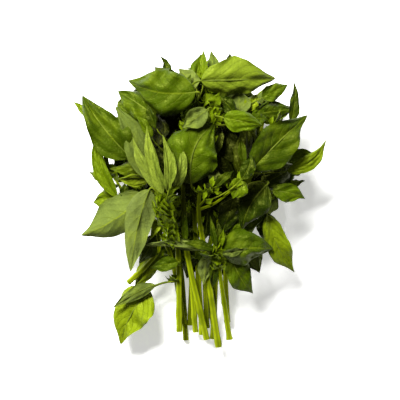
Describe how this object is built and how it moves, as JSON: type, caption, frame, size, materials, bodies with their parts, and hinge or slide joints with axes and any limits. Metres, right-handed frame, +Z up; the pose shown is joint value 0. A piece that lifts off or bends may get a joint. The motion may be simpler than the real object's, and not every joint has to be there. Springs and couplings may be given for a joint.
{
  "type": "bunch of basil",
  "caption": "Bunch of cut basil lying down: square green stems side by side, leafy shoots and glossy oval leaves spread out in a rounded mass above bare cut ends.",
  "frame": {"origin": "centre of the bunch's footprint, on the surface that it lies on", "axes": "+Y from the cut stem ends to the crown of leaves, +X across the bunch, +Z up off the surface"},
  "size_m": [0.229, 0.27, 0.0957],
  "materials": {
    "herb_green": "satin"
  },
  "bodies": {
    "root": {"stem_front_left": "herb_green", "stem_front_slanting": "herb_green", "stem_front_middle": "herb_green", "stem_front_short": "herb_green", "stem_front_right": "herb_green", "stem_left_outer": "herb_green", "stem_left_upper": "herb_green", "stem_middle_upper": "herb_green", "stem_right_upper": "herb_green", "stem_right_outer": "herb_green", "stem_back_left": "herb_green", "stem_back_middle": "herb_green", "stem_back_right": "herb_green", "stem_stray_left": "herb_green"}
  },
  "joints": []
}
